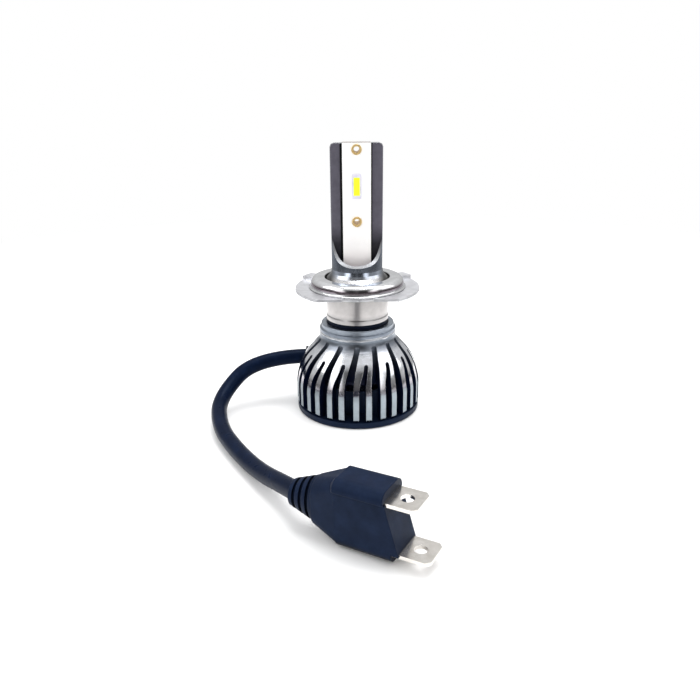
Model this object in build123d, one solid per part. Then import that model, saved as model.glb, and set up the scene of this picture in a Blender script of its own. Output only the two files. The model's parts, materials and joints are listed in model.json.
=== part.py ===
from build123d import *
import math
import os

os.makedirs("parts", exist_ok=True)

# H7 style LED headlight bulb, standing on its heat sink.
# Millimetres, +Z up, origin at the centre of the base on the floor.

# Heat sink
base_radius = 18.0
cover_height = 1.8
bell_foot = 2.0
collar_radius = 10.9
neck_radius = 10.4
neck_top = 26.0
pair_angle = 24.5
long_slot_azimuth = -98.9
short_slot_azimuth = -86.7
long_slot_width = 2.55
short_slot_width = 1.95
slot_taper = 0.62
long_slot_top = 21.8
short_slot_top = 17.7
slot_bend_start = 10.5
long_slot_shift = 1.45
short_slot_shift = 1.25
fan_bay_radius = 15.0
fan_bay_top = 11.4
board_bay_radius = 11.5
board_ledge_radius = 10.4
board_ledge_z = 13.0
board_bay_top = 16.9
spigot_radius = 7.8
spigot_foot = 18.5

# Fan
post_circle = 13.35
post_radius = 1.4
screw_radius = 0.8
frame_outer = 11.8
frame_inner = 11.2
frame_top = 8.8
blade_tip = 10.8
blade_count = 9
hub_radius = 6.2
shaft_radius = 0.75
bush_bore = 0.8

# Lamp column
column_radius = 7.1
column_top = 75.2
core_half = 1.6
board_thickness = 1.1
board_half_width = 3.8
board_top = 75.3
board_foot = 40.7
pocket_radius = 6.1
pocket_floor = 40.2
pocket_flare = 6.85
runout_top = 51.0
sleeve_radius = 8.75
flare_foot = 38.8
led_centre_z = 64.15
rivet_heights = (73.6, 54.8)
wire_bore = 4.4

# Adapter
sheet = 0.8
disc_radius = 17.5
disc_top = 36.3
disc_flat = 13.7
seat_radius = 13.75
seat_z = 36.2
ring_radius = 13.05
ring_top = 39.3
adapter_bore = 9.1
ring_shoulder = 1.7
skirt_foot = 34.5
spring_wire = 0.8
spring_height = 37.5

# Cable and plug
cable_radius = 2.2
exit_y = 4.5
exit_z = 13.5
cable_start = -13.0
plug_heading = -30.0
plug_pitch = 1.5
plug_entry = (-14.3, -61.2, 7.6)
cable_seat = 1.6
relief_length = 6.2
relief_rings = 4
blade_z = 5.4
lobe_top = 7.9
lobe_foot = -7.8
web_low = 26.4
web_high = 23.4
top_lobe_end = 23.2
low_lobe_end = 24.6
blade_thickness = 0.8
blade_width = 7.3
lower_tip = 32.7
upper_tip = 29.9

FOOT = (Align.CENTER, Align.CENTER, Align.MIN)


def ring(outer, inner, foot, top):
    tube = Pos(0, 0, foot) * Cylinder(outer, top - foot, align=FOOT)
    hole = Pos(0, 0, foot - 1) * Cylinder(inner, top - foot + 2, align=FOOT)
    return tube - hole


def rod(radius, x, y, foot, top):
    return Pos(x, y, foot) * Cylinder(radius, top - foot, align=FOOT)


def block(x, y, z, size_x, size_y, size_z):
    return Pos(x, y, z) * Box(size_x, size_y, size_z, align=FOOT)


def turned(outline):
    # Solid of revolution of a closed outline given as (radius, height) points.
    return revolve(Plane.XZ * make_face(Polyline(outline, close=True)), Axis.Z)


def spread(shape, azimuths):
    return [Rot(0, 0, a) * shape for a in azimuths]


def save(shape, name):
    shape.label = name
    export_step(shape, "parts/" + name + ".step")


# ---------------------------------------------------------------- heat sink
def bell():
    # Straight skirt, a rounded shoulder, then the grooved collar and the neck.
    edge = [
        Line((0, bell_foot), (base_radius - 0.7, bell_foot)),
        Line((base_radius - 0.7, bell_foot), (base_radius, bell_foot + 0.7)),
        Line((base_radius, bell_foot + 0.7), (base_radius, 8.5)),
        ThreePointArc((base_radius, 8.5), (17.02, 13.0), (14.3, 17.8)),
        Line((14.3, 17.8), (12.0, 20.3)),
        ThreePointArc((12.0, 20.3), (11.2, 21.3), (collar_radius, 22.6)),
        Line((collar_radius, 22.6), (collar_radius, 23.3)),
        Line((collar_radius, 23.3), (collar_radius - 0.3, 23.5)),
        Line((collar_radius - 0.3, 23.5), (collar_radius, 23.7)),
        Line((collar_radius, 23.7), (collar_radius, 24.5)),
        Line((collar_radius, 24.5), (neck_radius, 24.8)),
        Line((neck_radius, 24.8), (neck_radius, neck_top - 0.25)),
        Line((neck_radius, neck_top - 0.25), (neck_radius - 0.25, neck_top)),
        Line((neck_radius - 0.25, neck_top), (0, neck_top)),
        Line((0, neck_top), (0, bell_foot)),
    ]
    return revolve(Plane.XZ * make_face(edge), Axis.Z)


def slot(width, top, shift, floor_outline):
    # Upright at the foot, then leaning over by shift, with a round end at the top.
    half = width / 2
    tip_half = half * slot_taper
    end = top - tip_half
    rise = end - slot_bend_start

    def side(sign):
        middle = (half + tip_half) / 2
        return [
            (sign * half, slot_bend_start),
            (0.45 * shift + sign * middle, slot_bend_start + 0.55 * rise),
            (shift + sign * tip_half, end),
        ]

    left = side(-1)
    right = side(1)
    edge = [
        Line((-half, 0), left[0]),
        Spline(*left, tangents=[(0, 1), (0.12, 1)]),
        ThreePointArc(left[2], (shift, top), right[2]),
        Spline(*reversed(right), tangents=[(-0.12, -1), (0, -1)]),
        Line(right[0], (half, 0)),
        Line((half, 0), (-half, 0)),
    ]
    face = Plane.XZ * make_face(edge)
    cutter = extrude(face, amount=22)
    if cutter.bounding_box().max.Y > 1:
        cutter = extrude(face, amount=-22)
    return cutter & turned(floor_outline)


long_floor = [
    (13.4, 0),
    (13.4, 12.2),
    (12.6, 15.0),
    (11.0, 18.4),
    (10.75, 19.6),
    (10.75, 20.9),
    (11.1, 21.9),
    (12.5, 22.5),
    (20, 22.5),
    (20, 0),
]
short_floor = [
    (13.4, 0),
    (13.4, 12.6),
    (13.2, 14.6),
    (13.4, 16.2),
    (14.2, 17.6),
    (15.5, 18.6),
    (20, 18.6),
    (20, 0),
]
long_slot = slot(long_slot_width, long_slot_top, long_slot_shift, long_floor)
short_slot = slot(short_slot_width, short_slot_top, short_slot_shift, short_floor)
# The slots are built facing the front, at azimuth -90.
# A plain land is left between them where the cable leaves.
long_turns = [long_slot_azimuth + 90 + pair_angle * i for i in range(-3, 11)]
short_turns = [short_slot_azimuth + 90 + pair_angle * i for i in range(-3, 10)]
post_azimuths = (90, 210, 330)

heat_sink = bell()
heat_sink -= rod(fan_bay_radius, 0, 0, 0, fan_bay_top)
heat_sink -= rod(board_bay_radius, 0, 0, fan_bay_top - 1, board_ledge_z)
heat_sink -= rod(board_ledge_radius, 0, 0, board_ledge_z - 1, board_bay_top)
heat_sink -= rod(5.0, 0, 0, board_bay_top - 1, spigot_foot)
heat_sink -= rod(spigot_radius, 0, 0, spigot_foot, neck_top + 1)
heat_sink -= rod(8.95, 0, 0, neck_top - 0.6, neck_top + 1)
heat_sink -= spread(long_slot, long_turns) + spread(short_slot, short_turns)
post = rod(post_radius, post_circle, 0, cover_height, fan_bay_top + 0.2)
post -= rod(screw_radius, post_circle, 0, cover_height - 1, 7.5)
for azimuth in post_azimuths:
    heat_sink += Rot(0, 0, azimuth) * post
cable_hole = Pos(-20, exit_y, exit_z) * Rot(0, 90, 0) * Cylinder(3.0, 11, align=FOOT)
heat_sink -= cable_hole
save(heat_sink, "heat_sink")

# ---------------------------------------------------------------- base cover
base_cover = ring(base_radius - 0.1, 11.2, 0, cover_height)
cover_rim = base_cover.edges().filter_by(GeomType.CIRCLE).group_by(Axis.Z)[0]
base_cover = chamfer(cover_rim.sort_by(SortBy.RADIUS)[-1], 0.3)
base_cover += ring(8.4, 7.6, 0.5, 1.3)
base_cover += rod(5.6, 0, 0, 0.5, cover_height)
for azimuth in (30, 150, 270):
    base_cover += Rot(0, 0, azimuth) * block(8.6, 0, 0.5, 6.6, 1.4, 0.8)
base_cover -= rod(1.6, 0, 0, 0.9, 4)
for azimuth in post_azimuths:
    base_cover -= Rot(0, 0, azimuth) * rod(0.9, post_circle, 0, -1, 4)
    base_cover -= Rot(0, 0, azimuth) * rod(1.6, post_circle, 0, -1, 0.9)
save(base_cover, "base_cover")

screw = rod(1.5, post_circle, 0, 0.15, 0.9) + rod(screw_radius, post_circle, 0, 0.5, 6.5)
screw -= block(post_circle, 0, 0.0, 1.8, 0.35, 0.45)
screw -= block(post_circle, 0, 0.0, 0.35, 1.8, 0.45)
save(Compound(spread(screw, post_azimuths)), "base_screws")

# ---------------------------------------------------------------- fan
fan_frame = ring(frame_outer, frame_inner, cover_height, frame_top)
fan_frame += ring(frame_outer + 0.1, frame_inner, frame_top - 0.9, frame_top)
save(fan_frame, "fan_frame")

fan_board = ring(5.4, 1.6, cover_height, 2.5)
save(fan_board, "fan_board")

bearing_bush = ring(1.6, bush_bore, 0.9, 6.3)
save(bearing_bush, "bearing_bush")

stator_core = ring(2.5, 1.6, 3.2, 5.6)
for azimuth in (0, 90, 180, 270):
    stator_core += Rot(0, 0, azimuth) * block(3.1, 0, 3.2, 2.4, 1.1, 2.4)
    shoe = ring(4.6, 4.0, 3.2, 5.6) & block(4.2, 0, 3.2, 2.4, 4.2, 2.4)
    stator_core += Rot(0, 0, azimuth) * shoe
save(stator_core, "stator_core")

coil = block(3.25, 0, 2.75, 1.0, 2.2, 3.3) - block(3.3, 0, 3.2, 3.0, 1.1, 2.4)
save(Compound(spread(coil, (0, 90, 180, 270))), "stator_coils")

impeller = rod(hub_radius, 0, 0, 2.9, 8.0)
impeller = fillet(impeller.edges().group_by(Axis.Z)[-1], 0.6)
impeller -= rod(5.6, 0, 0, 2.0, 7.2)
impeller -= rod(shaft_radius, 0, 0, 2.0, 9.0)
blade = Plane.XZ * Pos(0, 0) * make_face(
    Polyline([(-1.9, 2.9), (-1.3, 2.9), (1.9, 7.8), (1.3, 7.8)], close=True)
)
blade = extrude(blade, amount=-blade_tip) + extrude(blade, amount=blade_tip)
blade &= ring(blade_tip, 5.9, 2.9, 7.8) & block(0, 8, 2.9, 30, 16, 4.9)
impeller += spread(blade, [360 / blade_count * i for i in range(blade_count)])
save(impeller, "impeller")
save(ring(5.6, 5.0, 3.0, 7.0), "rotor_magnet")
save(rod(shaft_radius, 0, 0, 1.3, 8.0), "fan_shaft")

# ---------------------------------------------------------------- driver
driver_board = rod(board_bay_radius - 0.1, 0, 0, 12.2, board_ledge_z)
driver_board -= rod(3.0, 0, 0, 12, 14)
save(driver_board, "driver_board")

driver_ic = block(5.2, -3.6, board_ledge_z, 4.0, 5.0, 1.5)
save(driver_ic, "driver_ic")
legs = []
for side in (-1, 1):
    for place in (-1.9, -0.63, 0.63, 1.9):
        legs.append(block(5.2 + side * 2.55, -3.6 + place, board_ledge_z, 1.1, 0.4, 0.2))
save(Compound(legs), "ic_legs")
inductor = block(-4.2, -5.4, board_ledge_z, 4.4, 4.4, 3.0)
inductor = fillet(inductor.edges().filter_by(Axis.Z), 0.8)
save(inductor, "driver_inductor")
can = rod(2.0, 5.6, 5.4, board_ledge_z, 16.4)
can = fillet(can.edges().group_by(Axis.Z)[-1], 0.3)
save(can, "driver_capacitor")
chips = [block(x, 8.0, board_ledge_z, 1.6, 3.2, 1.2) for x in (0.6, -2.2)]
save(Compound(chips), "chip_resistors")

# ---------------------------------------------------------------- lamp column
body = turned(
    [
        (0, spigot_foot),
        (spigot_radius, spigot_foot),
        (spigot_radius, 26.6),
        (8.85, 27.2),
        (8.85, 28.3),
        (sleeve_radius, 28.6),
        (sleeve_radius, flare_foot),
        (8.55, flare_foot + 0.25),
        (7.75, flare_foot + 0.95),
        (7.3, flare_foot + 1.8),
        (column_radius, flare_foot + 2.8),
        (column_radius, column_top - 1.0),
        (column_radius - 0.3, column_top - 0.3),
        (column_radius - 1.0, column_top),
        (0, column_top),
    ]
)
# Each face is milled flat and the cutter runs out on an arc low on the column.
slab = block(0, 0, 30, 16, 2 * core_half, 60)
runout = Plane.YZ * make_face(
    [
        Line((-core_half, 80), (-core_half, runout_top)),
        Spline(
            (-core_half, runout_top),
            (-2.35, 48.2),
            (-4.25, 44.85),
            (-7.3, 42.8),
            tangents=[(0, -1), (-1, -0.42)],
        ),
        Line((-7.3, 42.8), (-12, 42.0)),
        Line((-12, 42.0), (-12, 80)),
        Line((-12, 80), (-core_half, 80)),
    ]
)
front_cut = extrude(runout, amount=10, both=True)
body -= front_cut
body -= Rot(0, 0, 180) * front_cut
pocket = turned(
    [
        (0, pocket_floor),
        (pocket_radius, pocket_floor),
        (pocket_radius, 43.5),
        (pocket_flare, 50.0),
        (pocket_flare, 52.0),
        (0, 52.0),
    ]
)
body -= pocket - slab
body -= rod(wire_bore, 0, 0, spigot_foot - 1, 37.5)
for side in (-1, 1):
    for x in (-1.3, 1.3):
        body -= rod(0.8, x, side * 3.2, 37, 41)
for height in rivet_heights:
    body -= Pos(0, 0, height) * Rot(90, 0, 0) * Cylinder(1.0, 10)
save(body, "lamp_column")

seal = turned(
    [
        (spigot_radius, neck_top - 0.6),
        (8.8, neck_top - 0.6),
        (8.8, 27.15),
        (spigot_radius, 26.58),
    ]
)
save(seal, "neck_seal")

board_length = board_top - board_foot
for side, name in ((1, "front"), (-1, "rear")):
    face_y = -side * core_half
    out = -side
    board_y = face_y + out * board_thickness / 2
    board = block(0, board_y, board_foot, 2 * board_half_width, board_thickness, board_length)
    for height in rivet_heights:
        board -= Pos(0, 0, height) * Rot(90, 0, 0) * Cylinder(1.0, 12)
    save(board, name + "_board")
    board_face = face_y + out * board_thickness
    package = block(0, board_face + out * 0.3, led_centre_z - 3.15, 2.35, 0.6, 6.3)
    package -= block(0, board_face + out * 0.5, led_centre_z - 2.35, 1.65, 0.3, 4.7)
    save(package, name + "_led_package")
    phosphor = block(0, board_face + out * 0.475, led_centre_z - 2.35, 1.65, 0.25, 4.7)
    save(phosphor, name + "_phosphor")

rivets = []
face = core_half + board_thickness
for height in rivet_heights:
    barrel = Cylinder(1.0, 2 * face + 0.3)
    for z in (-1, 1):
        head = Pos(0, 0, z * (face + 0.15)) * Cylinder(1.35, 0.3)
        barrel += head
    barrel -= Cylinder(0.8, 20)
    rivets.append(Pos(0, 0, height) * Rot(90, 0, 0) * barrel)
save(Compound(rivets), "board_rivets")

for x, name in ((-1.3, "positive_wires"), (1.3, "negative_wires")):
    pair = [rod(0.5, x, y, board_ledge_z, 41.9) for y in (-3.2, 3.2)]
    save(Compound(pair), name)

# ---------------------------------------------------------------- adapter
flange = rod(disc_radius, 0, 0, disc_top - sheet, disc_top)
flange &= block(0, 0, 30, 40, 2 * disc_flat, 10)
flange += ring(10.4, 9.6, skirt_foot, disc_top - 0.2)
flange -= rod(adapter_bore, 0, 0, 30, 40)
# The ring sits in a shallow seat, so that the two ears are faces of their own.
flange -= rod(seat_radius, 0, 0, seat_z, 40)
# Front notch of the disc, with the small bent tongue left in the middle.
flange -= block(0, -disc_flat, 30, 8.4, 2.8, 10)
flange += block(0, -disc_flat + 0.95, disc_top - sheet, 2.4, 1.3, seat_z - disc_top + sheet)
# A small lug bent up at the back of each ear.
for azimuth in (32, 148):
    lug = ring(disc_radius, 14.0, disc_top - 0.2, disc_top + 1.2)
    lug &= block(16, 0, disc_top - 1, 6, 4.2, 4)
    flange += Rot(0, 0, azimuth) * lug
for azimuth in (0, 60, 120, 180, 240, 300):
    flange -= Rot(0, 0, azimuth) * block(10, 0, skirt_foot - 1, 3, 1.2, 1.8)
save(flange, "adapter_flange")

inner = ring_radius - sheet
under = ring_top - sheet
cup_edge = [
    Line((adapter_bore, under), (adapter_bore, ring_top - 0.35)),
    ThreePointArc(
        (adapter_bore, ring_top - 0.35),
        (adapter_bore + 0.1, ring_top - 0.1),
        (adapter_bore + 0.35, ring_top),
    ),
    Line((adapter_bore + 0.35, ring_top), (ring_radius - ring_shoulder, ring_top)),
    ThreePointArc(
        (ring_radius - ring_shoulder, ring_top),
        (ring_radius - 0.293 * ring_shoulder, ring_top - 0.293 * ring_shoulder),
        (ring_radius, ring_top - ring_shoulder),
    ),
    Line((ring_radius, ring_top - ring_shoulder), (ring_radius, disc_top + 0.7)),
    ThreePointArc(
        (ring_radius, disc_top + 0.7),
        (ring_radius + 0.16, disc_top + 0.36),
        (disc_flat - 0.1, disc_top + 0.2),
    ),
    Line((disc_flat - 0.1, disc_top + 0.2), (disc_flat - 0.1, seat_z)),
    Line((disc_flat - 0.1, seat_z), (inner, seat_z)),
    Line((inner, seat_z), (inner, under - 0.7)),
    ThreePointArc((inner, under - 0.7), (inner - 0.2, under - 0.2), (inner - 0.7, under)),
    Line((inner - 0.7, under), (adapter_bore, under)),
]
cup = revolve(Plane.XZ * make_face(cup_edge), Axis.Z)
save(cup, "locating_ring")

spring_line = sleeve_radius + 0.06 + spring_wire / 2
grip_spring = Pos(0, 0, spring_height) * Torus(spring_line, spring_wire / 2)
grip_spring -= block(0, 9, spring_height - 1, 5, 8, 2)
save(grip_spring, "grip_spring")

# ---------------------------------------------------------------- cable
heading = math.radians(plug_heading)
entry = plug_entry
cable_end = (
    entry[0] + cable_seat * math.cos(heading),
    entry[1] + cable_seat * math.sin(heading),
    entry[2] - 0.2,
)
cable_points = [
    (cable_start, exit_y, exit_z),
    (-30.4, exit_y, exit_z),
    (-40.5, -6.8, 5.0),
    (-37.9, -21.2, 2.8),
    (-31.0, -34.2, 2.4),
    (-23.8, -45.6, 3.1),
    (-17.4, -55.0, 5.6),
    cable_end,
]


def bend_radii(points):
    radii = []
    for before, here, after in zip(points, points[1:], points[2:]):
        first = math.dist(before, here)
        second = math.dist(here, after)
        dot = sum((h - b) * (a - h) for b, h, a in zip(before, here, after))
        turn = math.acos(dot / (first * second))
        radii.append(0.45 * min(first, second) / math.tan(turn / 2))
    return radii


radii = bend_radii(cable_points)
print("cable bend radii", [round(r, 1) for r in radii])
path = FilletPolyline(*cable_points, radius=radii)
section = Plane(origin=cable_points[0], z_dir=path % 0) * Circle(cable_radius)
cable = sweep(section, path=path)
print("cable length", round(path.length, 2))
print("volume ratio", cable.volume / (math.pi * cable_radius**2 * path.length))
save(cable, "cable")

cores = []
for y in (exit_y - 0.9, exit_y + 0.9):
    core = Cylinder(0.6, 3.2, align=FOOT)
    cores.append(Pos(cable_start, y, exit_z + 0.1) * Rot(0, 90, 0) * core)
save(Compound(cores), "input_wires")

grommet = Pos(-15.4, exit_y, exit_z) * Rot(0, 90, 0) * Cylinder(3.0, 3.0, align=FOOT)
grommet -= Pos(-22, exit_y, exit_z) * Rot(0, 90, 0) * Cylinder(cable_radius, 14, align=FOOT)
save(grommet, "cable_grommet")

# ---------------------------------------------------------------- plug
# Built along +X from the cable entry, then laid along its heading.
place = Pos(*entry) * Rot(0, 0, plug_heading) * Rot(0, -plug_pitch, 0)


def bar(x, y, z, size_x, size_y, size_z):
    return Pos(x, y, z) * Box(size_x, size_y, size_z, align=(Align.MIN, Align.CENTER, Align.MIN))


def cone_between(grow):
    small = Plane.YZ * Ellipse(2.9 + grow, 3.1 + grow)
    large = Plane.YZ.offset(relief_length) * Ellipse(3.75 + grow, 5.6 + grow)
    return loft([small, large])


relief = cone_between(-0.55)
outer = cone_between(0)
for i in range(relief_rings):
    relief += outer & bar(i * 1.8, 0, -8, 1.0, 20, 16)
relief -= Rot(0, 90, 0) * Cylinder(cable_radius, cable_seat, align=FOOT)
save(place * relief, "strain_relief")

back = Plane.YZ.offset(relief_length) * RectangleRounded(7.5, 11.2, 3.6)
front_middle = (lobe_top + lobe_foot) / 2
front_height = lobe_top - lobe_foot
front = Plane.YZ.offset(12.2) * Pos(0, front_middle) * RectangleRounded(8.2, front_height, 2.4)
plug_body = loft([back, front])
web = Plane.XZ * make_face(
    Polyline(
        [(12, lobe_foot + 1), (12, lobe_top - 2), (web_high, blade_z), (web_low, -blade_z)],
        close=True,
    )
)
web = extrude(web, amount=4.1, both=True)
web &= bar(11.5, 0, -blade_z, 20, 12, 2 * blade_z)
plug_body += web
top_lobe = bar(10.6, 0, blade_z, top_lobe_end - 10.6, 9.0, lobe_top - blade_z)
top_lobe = fillet(top_lobe.edges().filter_by(Axis.X).group_by(Axis.Z)[-1], 2.2)
top_lobe = chamfer(top_lobe.faces().sort_by(Axis.X)[0].edges().sort_by(Axis.Z)[-1], 1.4)
plug_body += top_lobe
low_lobe = bar(12.0, 0, lobe_foot, low_lobe_end - 12.0, 8.2, -blade_z - lobe_foot)
low_lobe = fillet(low_lobe.edges().filter_by(Axis.X).group_by(Axis.Z)[0], 2.3)
plug_body += low_lobe


def blade_plate(tip):
    plate = bar(15, 0, -blade_thickness / 2, tip - 15, blade_width, blade_thickness)
    corners = plate.edges().filter_by(Axis.Z).group_by(Axis.X)[-1]
    plate = chamfer(corners, 0.9)
    return plate - Pos(tip - 3.4, 0, 0) * Cylinder(1.4, 4)


lower_blade = Pos(0, 0, -blade_z) * blade_plate(lower_tip)
upper_blade = Pos(0, 0, blade_z) * blade_plate(upper_tip)
for plate_z in (-blade_z, blade_z):
    plug_body -= bar(15, 0, plate_z - blade_thickness / 2, 12, blade_width, blade_thickness)
save(place * plug_body, "plug_body")
save(place * lower_blade, "lower_blade")
save(place * upper_blade, "upper_blade")
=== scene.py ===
import json
import math

import bpy
from mathutils import Matrix, Vector


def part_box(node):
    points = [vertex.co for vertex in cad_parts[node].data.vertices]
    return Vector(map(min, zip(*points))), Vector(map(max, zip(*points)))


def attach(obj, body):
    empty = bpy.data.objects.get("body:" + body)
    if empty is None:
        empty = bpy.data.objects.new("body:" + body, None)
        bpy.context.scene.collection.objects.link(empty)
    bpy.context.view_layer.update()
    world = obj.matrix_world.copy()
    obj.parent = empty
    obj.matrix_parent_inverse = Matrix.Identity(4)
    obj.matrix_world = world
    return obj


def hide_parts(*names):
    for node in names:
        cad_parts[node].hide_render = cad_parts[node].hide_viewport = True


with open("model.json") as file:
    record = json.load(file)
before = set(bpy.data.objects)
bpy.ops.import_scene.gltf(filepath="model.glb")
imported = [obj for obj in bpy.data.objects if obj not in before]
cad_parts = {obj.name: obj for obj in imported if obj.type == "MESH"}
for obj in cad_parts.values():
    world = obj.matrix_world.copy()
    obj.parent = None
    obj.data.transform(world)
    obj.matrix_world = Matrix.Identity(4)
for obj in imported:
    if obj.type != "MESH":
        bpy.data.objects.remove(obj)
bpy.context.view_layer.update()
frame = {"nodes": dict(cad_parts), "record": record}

nodes = frame["nodes"]
scene = bpy.context.scene
scene.view_settings.view_transform = "Standard"

# ---------------------------------------------------------------- camera
camera_data = bpy.data.cameras.new("camera")
camera_data.sensor_width = 36.0
camera_data.lens = 34.97
camera_data.clip_start = 0.005
camera_place = (-0.00226, -0.18685, 0.08677)
camera = bpy.data.objects.new("camera", camera_data)
scene.collection.objects.link(camera)
camera_pitch = 0.358
camera_roll = -0.011
camera.matrix_world = (
    Matrix.Translation(camera_place)
    @ Matrix.Rotation(math.pi / 2 - camera_pitch, 4, "X")
    @ Matrix.Rotation(camera_roll, 4, "Z")
)
scene.camera = camera

# ---------------------------------------------------------------- cable
cable_radius = 0.0022
cable_route = [
    (-0.0130, 0.0045, 0.0135),
    (-0.0304, 0.0045, 0.0135),
    (-0.0405, -0.0068, 0.0050),
    (-0.0379, -0.0212, 0.0028),
    (-0.0310, -0.0342, 0.0024),
    (-0.0238, -0.0456, 0.0031),
    (-0.0174, -0.0550, 0.0056),
    (-0.0129144, -0.0620, 0.0074),
]
cable_curve = bpy.data.curves.new("supply_cable", "CURVE")
cable_curve.dimensions = "3D"
cable_curve.bevel_depth = 1.0
cable_curve.bevel_resolution = 10
cable_curve.use_fill_caps = True
cable_curve.resolution_u = 24
spline = cable_curve.splines.new("NURBS")
spline.points.add(len(cable_route) - 1)
for point, place in zip(spline.points, cable_route):
    point.co = (*place, 1.0)
    point.radius = cable_radius
spline.order_u = 3
spline.use_endpoint_u = True
supply_cable = bpy.data.objects.new("supply_cable", cable_curve)
scene.collection.objects.link(supply_cable)
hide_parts("cable")
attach(supply_cable, "bulb")


# ---------------------------------------------------------------- materials
# Heights and widths in metres are divided by these, so that the stops of a ramp run from 0 to 1.
bell_span = 0.026
column_span = 0.08
ring_span = 0.04
half_width_span = 0.01


class Shader:
    """A small helper that adds nodes to one material and links them."""

    def __init__(self, name):
        self.material = bpy.data.materials.new(name)
        self.material.use_nodes = True
        self.tree = self.material.node_tree
        self.bsdf = self.tree.nodes["Principled BSDF"]
        self.coords = self.tree.nodes.new("ShaderNodeTexCoord").outputs["Object"]

    def node(self, kind, **settings):
        made = self.tree.nodes.new(kind)
        for key, value in settings.items():
            setattr(made, key, value)
        return made

    def link(self, source, target):
        self.tree.links.new(source, target)

    def stretched(self, scale):
        mapping = self.node("ShaderNodeMapping")
        mapping.inputs["Scale"].default_value = scale
        self.link(self.coords, mapping.inputs["Vector"])
        return mapping.outputs["Vector"]

    def noise(self, scale, detail=3.0, rough=0.55, vector=None):
        noise = self.node("ShaderNodeTexNoise")
        noise.inputs["Scale"].default_value = scale
        noise.inputs["Detail"].default_value = detail
        noise.inputs["Roughness"].default_value = rough
        self.link(vector or self.coords, noise.inputs["Vector"])
        return noise.outputs["Fac"]

    def math(self, operation, first, second=None, clamp=False):
        node = self.node("ShaderNodeMath", operation=operation, use_clamp=clamp)
        for socket, value in zip(node.inputs, (first, second)):
            if value is None:
                continue
            if isinstance(value, (int, float)):
                socket.default_value = value
            else:
                self.link(value, socket)
        return node.outputs[0]

    def ramp(self, source, stops):
        """A colour ramp. A stop is a place from 0 to 1 with a colour or a grey level."""
        ramp = self.node("ShaderNodeValToRGB")
        elements = ramp.color_ramp.elements
        while len(elements) > 1:
            elements.remove(elements[0])
        for i, (place, colour) in enumerate(stops):
            element = elements[0] if i == 0 else elements.new(place)
            element.position = place
            if isinstance(colour, (int, float)):
                colour = (colour, colour, colour)
            element.color = (*colour, 1.0)
        self.link(source, ramp.inputs["Fac"])
        return ramp.outputs["Color"]

    def axis(self, name):
        split = self.node("ShaderNodeSeparateXYZ")
        self.link(self.coords, split.inputs[0])
        return split.outputs[name]

    def multiply(self, first, second, amount=1.0):
        mix = self.node("ShaderNodeMix", data_type="RGBA", blend_type="MULTIPLY")
        mix.inputs[0].default_value = amount
        self.link(first, mix.inputs[6])
        self.link(second, mix.inputs[7])
        return mix.outputs[2]

    def painted_crease_shade(self, reach, depth, span=(0.25, 0.85)):
        """Painted shade from ambient occlusion: white in the open, darker in corners and under overhangs."""
        shade = self.node("ShaderNodeAmbientOcclusion", samples=6)
        shade.inputs["Distance"].default_value = reach
        return self.ramp(shade.outputs["AO"], [(span[0], depth), (span[1], 1.0)])

    def relief(self, heights, rounding=0.0):
        """heights is a list of (height output, strength, distance)."""
        normal = None
        if rounding:
            bevel = self.node("ShaderNodeBevel", samples=4)
            bevel.inputs["Radius"].default_value = rounding
            normal = bevel.outputs["Normal"]
        for height, strength, distance in heights:
            bump = self.node("ShaderNodeBump")
            bump.inputs["Strength"].default_value = strength
            bump.inputs["Distance"].default_value = distance
            self.link(height, bump.inputs["Height"])
            if normal is not None:
                self.link(normal, bump.inputs["Normal"])
            normal = bump.outputs["Normal"]
        if normal is not None:
            self.link(normal, self.bsdf.inputs["Normal"])


def varied(colour, amount):
    return tuple(min(1.0, c * amount) for c in colour)


def metal(name, colour, rough, spread=0.06, lines=None, rounding=0.0, grain=0.05, metallic=1.0, stain=None):
    """Metal with soft colour mottling, uneven gloss and turning or brushing lines."""
    s = Shader(name)
    s.bsdf.inputs["Metallic"].default_value = metallic
    cloud = s.noise(420.0, 4.0, 0.6)
    dark = stain or varied(colour, 0.84)
    tone = s.ramp(cloud, [(0.28, dark), (0.62, colour), (0.85, varied(colour, 1.06))])
    s.link(tone, s.bsdf.inputs["Base Color"])
    gloss = s.noise(900.0, 3.0, 0.6)
    gloss = s.ramp(gloss, [(0.25, rough - spread / 2), (0.8, rough + spread)])
    s.link(gloss, s.bsdf.inputs["Roughness"])
    heights = [(s.noise(6000.0, 2.0, 0.5), grain, 0.00002)]
    if lines:
        scale, strength = lines
        drawn = s.noise(1.0, 2.0, 0.6, s.stretched(scale))
        heights.append((drawn, strength, 0.00003))
    s.relief(heights, rounding)
    return s.material


def moulded(
    name,
    colour,
    rough,
    grain=0.25,
    rounding=0.0,
    light=1.7,
    spec=0.15,
    tint=(1.0, 1.0, 1.0),
    shade=None,
):
    """Plastic or rubber with a moulded grain, slightly uneven gloss and, when shade is given, painted shade
    darkening corners and overhangs.
    """
    s = Shader(name)
    cloud = s.noise(260.0, 4.0, 0.6)
    tone = s.ramp(cloud, [(0.3, varied(colour, 0.75)), (0.55, colour), (0.8, varied(colour, light))])
    if shade:
        tone = s.multiply(tone, s.painted_crease_shade(*shade))
    s.link(tone, s.bsdf.inputs["Base Color"])
    gloss = s.noise(700.0, 3.0, 0.6)
    gloss = s.ramp(gloss, [(0.25, rough - 0.05), (0.8, rough + 0.08)])
    s.link(gloss, s.bsdf.inputs["Roughness"])
    s.bsdf.inputs["Specular IOR Level"].default_value = spec
    s.bsdf.inputs["Specular Tint"].default_value = (*tint, 1.0)
    fine = s.noise(5200.0, 2.0, 0.5)
    wide = s.noise(900.0, 2.0, 0.5)
    s.relief([(fine, grain, 0.00003), (wide, grain * 0.5, 0.00005)], rounding)
    return s.material


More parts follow.
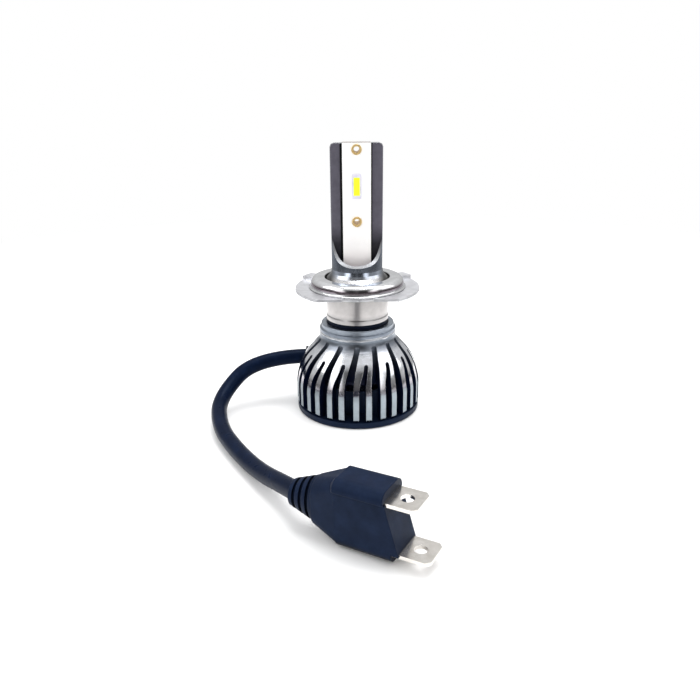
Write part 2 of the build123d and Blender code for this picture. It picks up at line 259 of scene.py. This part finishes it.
def machined_aluminium():
    """Bell outside: satin straight fins, polished shoulder, satin collar, turned all over, with a painted
    highlight line on the collar.
    """
    s = Shader("machined_aluminium")
    s.bsdf.inputs["Metallic"].default_value = 1.0
    height = s.math("DIVIDE", s.axis("Z"), bell_span)
    waver = s.math("MULTIPLY", s.noise(350.0, 2.0, 0.5), 0.03)
    height = s.math("ADD", height, s.math("SUBTRACT", waver, 0.015))
    # Tone by height follows the finish: satin fins, polished shoulder, satin collar. The bright stop at 0.90,
    # set between darker stops, is a painted highlight along the collar's groove.
    tone = s.ramp(
        height,
        [
            (0.0, (0.33, 0.38, 0.42)),
            (0.365, (0.39, 0.44, 0.48)),
            (0.385, (0.27, 0.27, 0.31)),
            (0.44, (0.54, 0.52, 0.55)),
            (0.55, (0.86, 0.88, 0.92)),
            (0.74, (0.78, 0.80, 0.85)),
            (0.80, (0.25, 0.27, 0.31)),
            (0.885, (0.19, 0.22, 0.26)),
            (0.90, (0.80, 0.81, 0.83)),
            (0.92, (0.22, 0.25, 0.30)),
            (1.0, (0.34, 0.38, 0.43)),
        ],
    )
    cloud = s.ramp(s.noise(500.0, 4.0, 0.65), [(0.3, 0.82), (0.6, 1.0)])
    s.link(s.multiply(tone, cloud), s.bsdf.inputs["Base Color"])
    gloss = s.ramp(
        height,
        [(0.0, 0.50), (0.365, 0.46), (0.39, 0.20), (0.50, 0.14), (0.74, 0.17), (0.80, 0.34), (1.0, 0.30)],
    )
    s.link(gloss, s.bsdf.inputs["Roughness"])
    turning = s.noise(1.0, 2.0, 0.6, s.stretched((300.0, 300.0, 9000.0)))
    s.relief([(turning, 0.16, 0.00003), (s.noise(2400.0, 3.0, 0.6), 0.06, 0.00003)], 0.00012)
    return s.material


def black_anodised():
    """Inside the slots: blue-black, near-black low down and paler towards their tops."""
    s = Shader("black_anodised")
    s.bsdf.inputs["Metallic"].default_value = 0.35
    height = s.math("DIVIDE", s.axis("Z"), bell_span)
    tone = s.ramp(
        height,
        [
            (0.0, (0.002, 0.006, 0.030)),
            (0.52, (0.003, 0.008, 0.034)),
            (0.62, (0.018, 0.023, 0.045)),
            (0.70, (0.075, 0.087, 0.115)),
            (0.84, (0.15, 0.175, 0.215)),
        ],
    )
    cloud = s.ramp(s.noise(700.0, 4.0, 0.6), [(0.3, 0.65), (0.65, 1.0)])
    s.link(s.multiply(tone, cloud), s.bsdf.inputs["Base Color"])
    gloss = s.ramp(s.noise(600.0, 3.0, 0.6), [(0.3, 0.34), (0.8, 0.50)])
    s.link(gloss, s.bsdf.inputs["Roughness"])
    s.bsdf.inputs["Specular IOR Level"].default_value = 0.2
    s.relief([(s.noise(3500.0, 3.0, 0.6), 0.2, 0.00004)], 0.0001)
    return s.material


def dark_flats():
    """Milled faces of the column: satin grey, darker low down, with a painted shadow line beside the boards,
    paler at the run-out.
    """
    s = Shader("column_flats")
    s.bsdf.inputs["Metallic"].default_value = 0.5
    height = s.math("DIVIDE", s.axis("Z"), column_span)
    tone = s.ramp(
        height,
        [
            (0.52, (0.020, 0.020, 0.028)),
            (0.61, (0.040, 0.038, 0.050)),
            (0.67, (0.168, 0.158, 0.200)),
            (0.93, (0.182, 0.172, 0.216)),
        ],
    )
    cloud = s.ramp(s.noise(500.0, 4.0, 0.6), [(0.3, 0.84), (0.65, 1.0)])
    # Painted shadow line: a thin strip of the flats beside each board's edge is darkened, shifted a little
    # sideways.
    painted_line_shift = 0.00012
    aside = s.math("ABSOLUTE", s.math("ADD", s.axis("X"), painted_line_shift))
    aside = s.math("DIVIDE", aside, half_width_span)
    board_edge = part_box("front_board")[1][0] / half_width_span
    painted_gap_shade = s.ramp(aside, [(board_edge + 0.042, 0.03), (board_edge + 0.058, 1.0)])
    flat = s.multiply(s.multiply(tone, cloud), painted_gap_shade)
    facing = s.node("ShaderNodeSeparateXYZ")
    s.link(s.tree.nodes["Texture Coordinate"].outputs["Normal"], facing.inputs[0])
    tilt = s.math("ABSOLUTE", facing.outputs["Y"])
    turned = s.ramp(tilt, [(0.86, 1.0), (0.985, 0.0)])
    mix = s.node("ShaderNodeMix", data_type="RGBA")
    s.link(turned, mix.inputs[0])
    s.link(flat, mix.inputs[6])
    mix.inputs[7].default_value = (0.34, 0.35, 0.37, 1.0)
    s.link(mix.outputs[2], s.bsdf.inputs["Base Color"])
    gloss = s.ramp(s.noise(900.0, 3.0, 0.6), [(0.3, 0.34), (0.8, 0.46)])
    s.link(gloss, s.bsdf.inputs["Roughness"])
    lines = s.noise(1.0, 2.0, 0.6, s.stretched((9000.0, 300.0, 260.0)))
    s.relief([(lines, 0.16, 0.00003), (s.noise(5200.0, 2.0, 0.5), 0.08, 0.00002)])
    return s.material


def polished_column():
    """Turned and polished round of the column and its sleeve, with painted dark reflections on the sides at
    the foot of the flare and painted shade in crevices.
    """
    s = Shader("polished_column")
    s.bsdf.inputs["Metallic"].default_value = 1.0
    height = s.math("DIVIDE", s.axis("Z"), column_span)
    # The darker stop at 0.355 is a painted shade band near the foot of the sleeve.
    tone = s.ramp(
        height,
        [
            (0.34, (0.60, 0.58, 0.575)),
            (0.355, (0.46, 0.45, 0.45)),
            (0.37, (0.66, 0.635, 0.625)),
            (0.49, (0.60, 0.585, 0.58)),
            (0.51, (0.57, 0.63, 0.74)),
            (0.60, (0.46, 0.52, 0.64)),
            (0.94, (0.55, 0.56, 0.60)),
        ],
    )
    cloud = s.ramp(s.noise(450.0, 4.0, 0.6), [(0.3, 0.86), (0.65, 1.0)])
    # Painted shade in the crevices, mostly where the flare's foot meets the ring.
    tone = s.multiply(s.multiply(tone, cloud), s.painted_crease_shade(0.0035, 0.02, (0.30, 0.62)))
    # Painted reflection: the sides of the flare's foot are darkened by position, standing in for reflections
    # of dark surroundings.
    aside = s.math("DIVIDE", s.math("ABSOLUTE", s.axis("X")), half_width_span)
    at_foot = s.ramp(height, [(0.470, 0.0), (0.480, 1.0), (0.510, 1.0), (0.535, 0.0)])
    at_sides = s.ramp(aside, [(0.58, 0.0), (0.74, 0.88)])
    painted_reflection_dimming = s.math("SUBTRACT", 1.0, s.math("MULTIPLY", at_foot, at_sides))
    s.link(s.multiply(tone, painted_reflection_dimming), s.bsdf.inputs["Base Color"])
    gloss = s.ramp(height, [(0.34, 0.30), (0.49, 0.26), (0.52, 0.13), (0.94, 0.24)])
    s.link(gloss, s.bsdf.inputs["Roughness"])
    turning = s.noise(1.0, 2.0, 0.6, s.stretched((260.0, 260.0, 8000.0)))
    s.relief([(turning, 0.16, 0.00003), (s.noise(1500.0, 4.0, 0.7), 0.12, 0.00005)], 0.0001)
    return s.material


def chromed_ring():
    """Pressed ring: bright on top and round its foot, with a painted dark reflection band round the wall and
    painted shade in corners.
    """
    s = Shader("chromed_steel")
    s.bsdf.inputs["Metallic"].default_value = 1.0
    height = s.math("DIVIDE", s.axis("Z"), ring_span)
    # The dark reddish stops from 0.927 to 0.947 are a painted reflection band round the wall.
    tone = s.ramp(
        height,
        [
            (0.9200, (0.82, 0.83, 0.85)),
            (0.9270, (0.60, 0.59, 0.61)),
            (0.9330, (0.30, 0.25, 0.28)),
            (0.9470, (0.34, 0.29, 0.32)),
            (0.9590, (0.80, 0.80, 0.82)),
            (0.9800, (0.88, 0.89, 0.91)),
        ],
    )
    cloud = s.ramp(s.noise(420.0, 4.0, 0.6), [(0.28, 0.84), (0.62, 1.0)])
    # Painted shade in corners and under overhangs.
    tone = s.multiply(s.multiply(tone, cloud), s.painted_crease_shade(0.003, 0.12, (0.35, 0.80)))
    s.link(tone, s.bsdf.inputs["Base Color"])
    gloss = s.ramp(s.noise(900.0, 3.0, 0.6), [(0.25, 0.10), (0.8, 0.19)])
    s.link(gloss, s.bsdf.inputs["Roughness"])
    turning = s.noise(1.0, 2.0, 0.6, s.stretched((260.0, 260.0, 9000.0)))
    s.relief([(s.noise(6000.0, 2.0, 0.5), 0.03, 0.00002), (turning, 0.05, 0.00003)])
    return s.material


def white_mask():
    """White solder mask with a faint warm cast near its lower end."""
    s = Shader("white_mask")
    height = s.math("DIVIDE", s.axis("Z"), column_span)
    tone = s.ramp(
        height,
        [(0.52, (0.86, 0.80, 0.79)), (0.60, (0.93, 0.91, 0.90)), (0.75, (0.96, 0.96, 0.955))],
    )
    cloud = s.ramp(s.noise(300.0, 3.0, 0.6), [(0.3, 0.965), (0.7, 1.0)])
    s.link(s.multiply(tone, cloud), s.bsdf.inputs["Base Color"])
    gloss = s.ramp(s.noise(700.0, 3.0, 0.6), [(0.3, 0.30), (0.8, 0.42)])
    s.link(gloss, s.bsdf.inputs["Roughness"])
    s.relief([(s.noise(2600.0, 3.0, 0.6), 0.08, 0.00003)], 0.00006)
    return s.material


def yellow_phosphor():
    s = Shader("yellow_phosphor")
    tone = s.ramp(s.noise(3800.0, 3.0, 0.6), [(0.3, (0.74, 0.90, 0.006)), (0.7, (0.86, 0.97, 0.015))])
    s.link(tone, s.bsdf.inputs["Base Color"])
    # The emission is a painted glow that makes the phosphor brighter than its colour alone.
    s.bsdf.inputs["Emission Color"].default_value = (0.80, 1.0, 0.0, 1.0)
    s.bsdf.inputs["Emission Strength"].default_value = 0.22
    s.bsdf.inputs["Roughness"].default_value = 0.42
    s.relief([(s.noise(9000.0, 2.0, 0.6), 0.25, 0.00003)])
    return s.material


def circuit_board():
    """Green mask with paler copper tracks showing through as a grid of cells."""
    s = Shader("green_board")
    cells = s.node("ShaderNodeTexVoronoi", distance="MANHATTAN", feature="DISTANCE_TO_EDGE")
    cells.inputs["Scale"].default_value = 520.0
    s.link(s.coords, cells.inputs["Vector"])
    tone = s.ramp(
        cells.outputs["Distance"],
        [(0.04, (0.015, 0.10, 0.04)), (0.07, (0.03, 0.20, 0.08)), (0.6, (0.035, 0.23, 0.09))],
    )
    s.link(tone, s.bsdf.inputs["Base Color"])
    s.bsdf.inputs["Roughness"].default_value = 0.35
    s.relief([(cells.outputs["Distance"], 0.1, 0.00003), (s.noise(4000.0, 2.0, 0.5), 0.1, 0.00002)])
    return s.material


def copper_winding():
    s = Shader("copper_wire")
    s.bsdf.inputs["Metallic"].default_value = 0.9
    wave = s.node("ShaderNodeTexWave", wave_type="BANDS", bands_direction="Z")
    wave.inputs["Scale"].default_value = 1500.0
    wave.inputs["Distortion"].default_value = 0.6
    s.link(s.coords, wave.inputs["Vector"])
    tone = s.ramp(wave.outputs["Fac"], [(0.1, (0.20, 0.07, 0.02)), (0.6, (0.72, 0.30, 0.11))])
    s.link(tone, s.bsdf.inputs["Base Color"])
    s.bsdf.inputs["Roughness"].default_value = 0.28
    s.relief([(wave.outputs["Fac"], 0.6, 0.0001)])
    return s.material


around = (260.0, 260.0, 9000.0)
along_x = (260.0, 9000.0, 9000.0)
blue_gloss = (0.50, 0.70, 1.0)
made = {
    "machined_aluminium": machined_aluminium(),
    "black_anodised": black_anodised(),
    "column_flats": dark_flats(),
    "polished_column": polished_column(),
    "white_board": white_mask(),
    "phosphor": yellow_phosphor(),
    "green_board": circuit_board(),
    "copper_wire": copper_winding(),
    "board_core": metal("board_core", (0.45, 0.33, 0.24), 0.42, lines=(along_x, 0.2)),
    "satin_nickel": metal(
        "satin_nickel", (0.83, 0.835, 0.865), 0.38, lines=((900.0, 900.0, 900.0), 0.10), rounding=0.00012
    ),
    "chromed_steel": chromed_ring(),
    "polished_steel": metal("polished_steel", (0.70, 0.70, 0.71), 0.16, lines=(around, 0.06)),
    "lamination_steel": metal(
        "lamination_steel", (0.40, 0.40, 0.42), 0.4, lines=((200.0, 200.0, 5200.0), 0.5)
    ),
    "brass": metal(
        "brass", (1.0, 0.74, 0.34), 0.28, stain=(0.88, 0.56, 0.18), rounding=0.0001, metallic=0.6
    ),
    "tinned_copper": metal("tinned_copper", (0.70, 0.69, 0.67), 0.3),
    "tinned_brass": metal(
        "tinned_brass",
        (0.86, 0.83, 0.79),
        0.20,
        stain=(0.72, 0.68, 0.63),
        lines=((900.0, 2600.0, 900.0), 0.08),
        rounding=0.00012,
        grain=0.02,
    ),
    "magnet": metal("magnet", (0.16, 0.16, 0.17), 0.5, grain=0.3),
    "black_steel": metal("black_steel", (0.06, 0.06, 0.065), 0.35, rounding=0.00008),
    "black_plastic": moulded(
        "black_plastic", (0.005, 0.010, 0.028), 0.42, rounding=0.00015, tint=blue_gloss
    ),
    "chip_resin": moulded("chip_resin", (0.022, 0.022, 0.025), 0.5, rounding=0.0001),
    "ferrite": moulded("ferrite", (0.055, 0.055, 0.06), 0.6, rounding=0.0001),
    "black_rubber": moulded(
        "black_rubber", (0.004, 0.006, 0.014), 0.38, rounding=0.0001, spec=0.1, tint=blue_gloss
    ),
    "white_ceramic": moulded(
        "white_ceramic", (0.70, 0.68, 0.79), 0.3, grain=0.08, rounding=0.00006, light=1.15
    ),
    "red_insulation": moulded("red_insulation", (0.42, 0.02, 0.015), 0.4),
    "cable_jacket": moulded(
        "cable_jacket", (0.003, 0.007, 0.022), 0.30, grain=0.10, spec=0.07, tint=blue_gloss
    ),
    "plug_moulding": moulded(
        "plug_moulding",
        (0.008, 0.014, 0.034),
        0.36,
        grain=0.30,
        rounding=0.0003,
        light=1.4,
        spec=0.07,
        tint=blue_gloss,
        # Painted shade: darkens the plug's corners and the undersides of its overhangs.
        shade=(0.004, 0.15),
    ),
}

slots = {p["node"]: p["material_slot"] for p in frame["record"]["subparts"]}
for name, node in nodes.items():
    node.data.materials.clear()
    node.data.materials.append(made[slots[name]])
supply_cable.data.materials.append(made["cable_jacket"])


def set_faces(name, second, chosen):
    """Gives the faces that chosen picks the second material. Sizes are in millimetres."""
    mesh = nodes[name].data
    mesh.materials.append(made[second])
    index = len(mesh.materials) - 1
    for face in mesh.polygons:
        if chosen(face.center * 1000, face.normal):
            face.material_index = index


def bell_radius(z):
    """Outer radius of the bell at height z, in millimetres."""
    line = [
        (8.5, 18.0),
        (10.5, 17.8),
        (13.0, 17.02),
        (15.6, 15.9),
        (17.8, 14.3),
        (20.3, 12.0),
        (21.3, 11.2),
        (22.6, 10.6),
    ]
    if z <= line[0][0]:
        return line[0][1]
    for (z0, r0), (z1, r1) in zip(line, line[1:]):
        if z <= z1:
            return r0 + (r1 - r0) * (z - z0) / (z1 - z0)
    return line[-1][1]


def in_slot(centre, normal):
    """The walls of the slots, and above them the bore of the neck."""
    radius = math.hypot(centre.x, centre.y)
    if centre.z > 22.3:
        return radius < 8.9
    outward = (centre.x * normal.x + centre.y * normal.y) / max(radius, 0.001)
    facing = outward > 0.55 or (centre.z > 9 and outward > 0.25 and normal.z > 0.3)
    return radius < bell_radius(centre.z) - 0.28 or not facing


def milled(centre, normal):
    """The flats and the run-outs of the milling cutter, not the round."""
    radius = math.hypot(centre.x, centre.y)
    outward = abs(centre.x * normal.x + centre.y * normal.y) / max(radius, 0.001)
    on_round = radius > 6.95 and outward > 0.98
    return 42.5 < centre.z < 74.9 and abs(normal.y) > 0.25 and abs(normal.x) < 0.05 and not on_round


set_faces("heat_sink", "black_anodised", in_slot)
set_faces("lamp_column", "column_flats", milled)
for name in ("front_board", "rear_board"):
    set_faces(name, "board_core", lambda c, n: n.z > 0.7)
    # Painted shade: the boards' side faces get the black rubber material to stand in for the shade on them.
    set_faces(name, "black_rubber", lambda c, n: abs(n.x) > 0.7)

# ---------------------------------------------------------------- floor and light
floor_reach = 3
floor_z = -0.0001
corners = [(x * floor_reach, y * floor_reach, floor_z) for x, y in ((-1, -1), (1, -1), (1, 1), (-1, 1))]
floor_mesh = bpy.data.meshes.new("floor")
floor_mesh.from_pydata(corners, [], [(0, 1, 2, 3)])
floor = bpy.data.objects.new("floor", floor_mesh)
scene.collection.objects.link(floor)

s = Shader("paper")
paper = s.ramp(s.noise(60.0, 3.0, 0.6), [(0.3, 0.93), (0.7, 0.95)])
s.link(paper, s.bsdf.inputs["Base Color"])
s.bsdf.inputs["Roughness"].default_value = 0.85
s.bsdf.inputs["Specular IOR Level"].default_value = 0.15
length = s.node("ShaderNodeVectorMath", operation="LENGTH")
s.link(s.coords, length.inputs[0])
# The paper turns into an even white away from the bulb, and sooner and darker as the metals mirror it.
paper_radius = 0.12
paper_fade = 0.22
mirrored_radius = 0.10
mirrored_fade = 0.05
far = s.math("SUBTRACT", length.outputs["Value"], paper_radius)
far = s.math("DIVIDE", far, paper_fade, clamp=True)
near_edge = s.math("SUBTRACT", length.outputs["Value"], mirrored_radius)
near_edge = s.math("DIVIDE", near_edge, mirrored_fade, clamp=True)
glossy = s.node("ShaderNodeLightPath").outputs["Is Glossy Ray"]
sharper = s.math("MULTIPLY", s.math("SUBTRACT", near_edge, far), glossy)
far = s.math("ADD", far, sharper)
behind = s.math("MULTIPLY", s.axis("Y"), 3.0, clamp=True)
dim = s.math("SUBTRACT", 0.90, s.math("MULTIPLY", behind, 0.40))
glow = s.math("SUBTRACT", 1.0, s.math("MULTIPLY", dim, glossy))
emit = s.node("ShaderNodeEmission")
s.link(glow, emit.inputs["Strength"])
mix = s.node("ShaderNodeMixShader")
s.link(far, mix.inputs[0])
s.link(s.bsdf.outputs[0], mix.inputs[1])
s.link(emit.outputs[0], mix.inputs[2])
s.link(mix.outputs[0], s.tree.nodes["Material Output"].inputs["Surface"])
floor_mesh.materials.append(s.material)

world = bpy.data.worlds.new("studio")
scene.world = world
world.use_nodes = True
tree = world.node_tree
background = tree.nodes["Background"]
where = tree.nodes.new("ShaderNodeTexCoord")
split = tree.nodes.new("ShaderNodeSeparateXYZ")
tree.links.new(where.outputs["Generated"], split.inputs[0])


def world_math(operation, first, second, clamp=False):
    node = tree.nodes.new("ShaderNodeMath")
    node.operation = operation
    node.use_clamp = clamp
    for socket, value in zip(node.inputs, (first, second)):
        if isinstance(value, (int, float)):
            socket.default_value = value
        else:
            tree.links.new(value, socket)
    return node.outputs[0]


# Reflections see a dark room in front, with a bright window on each side of it and a faint glow
# between them, and a paler back. A place is 0 at the far left and 1 at the far right.
room_edge = (0.30, 0.32, 0.34, 1)
across = tree.nodes.new("ShaderNodeValToRGB")
stops = across.color_ramp.elements
stops[0].position, stops[0].color = 0.02, room_edge
stops[1].position, stops[1].color = 0.98, room_edge
windows = [
    (0.07, 0.34),
    (0.13, 1.9),
    (0.20, 1.9),
    (0.27, 0.10),
    (0.42, 0.05),
    (0.48, 0.16),
    (0.54, 0.05),
    (0.70, 0.06),
    (0.78, 1.5),
    (0.84, 1.5),
    (0.90, 0.30),
]
for place, level in windows:
    stop = stops.new(place)
    stop.color = (level, level, level, 1)
sideways = world_math("ADD", world_math("MULTIPLY", split.outputs["X"], 0.5), 0.5)
tree.links.new(sideways, across.inputs["Fac"])
room_height = 0.82
ahead = world_math("ADD", world_math("MULTIPLY", split.outputs["Y"], -1.0), 0.15)
ahead = world_math("MULTIPLY", ahead, 3.0, clamp=True)
low = world_math("MULTIPLY", world_math("SUBTRACT", room_height, split.outputs["Z"]), 5.0, clamp=True)
room = world_math("MULTIPLY", ahead, low)
horizon_level = 0.52
sky = world_math("ADD", horizon_level, world_math("MULTIPLY", split.outputs["Z"], 0.35, clamp=True))
open_part = world_math("MULTIPLY", sky, world_math("SUBTRACT", 1.0, room))
front_part = world_math("MULTIPLY", across.outputs["Color"], room)
studio = world_math("ADD", open_part, front_part)
ray = tree.nodes.new("ShaderNodeLightPath")
mirrored = ray.outputs["Is Glossy Ray"]
# Light on dull surfaces is a little under white, and the camera sees pure white.
fill_level = 0.92
plain = world_math("MULTIPLY", world_math("SUBTRACT", 1.0, mirrored), fill_level)
seen = world_math("MULTIPLY", ray.outputs["Is Camera Ray"], 1.0 - fill_level)
dull = world_math("ADD", plain, seen)
strength = world_math("ADD", dull, world_math("MULTIPLY", mirrored, studio))
tree.links.new(strength, background.inputs["Strength"])
background.inputs["Color"].default_value = (1.0, 1.0, 1.0, 1.0)


def area_light(name, place, target, size, power):
    data = bpy.data.lights.new(name, "AREA")
    data.shape = "RECTANGLE"
    data.size, data.size_y = size
    data.energy = power
    light = bpy.data.objects.new(name, data)
    light.location = place
    aim = Vector(target) - Vector(place)
    light.rotation_euler = aim.to_track_quat("-Z", "Y").to_euler()
    scene.collection.objects.link(light)


area_light("top", (0.05, 0.05, 0.55), (0, -0.01, 0), (0.40, 0.30), 2.2)
area_light("left", (-0.45, -0.10, 0.40), (0, 0, 0.03), (0.40, 0.40), 0.9)
area_light("right", (0.45, -0.05, 0.36), (0, 0, 0.03), (0.40, 0.40), 0.6)
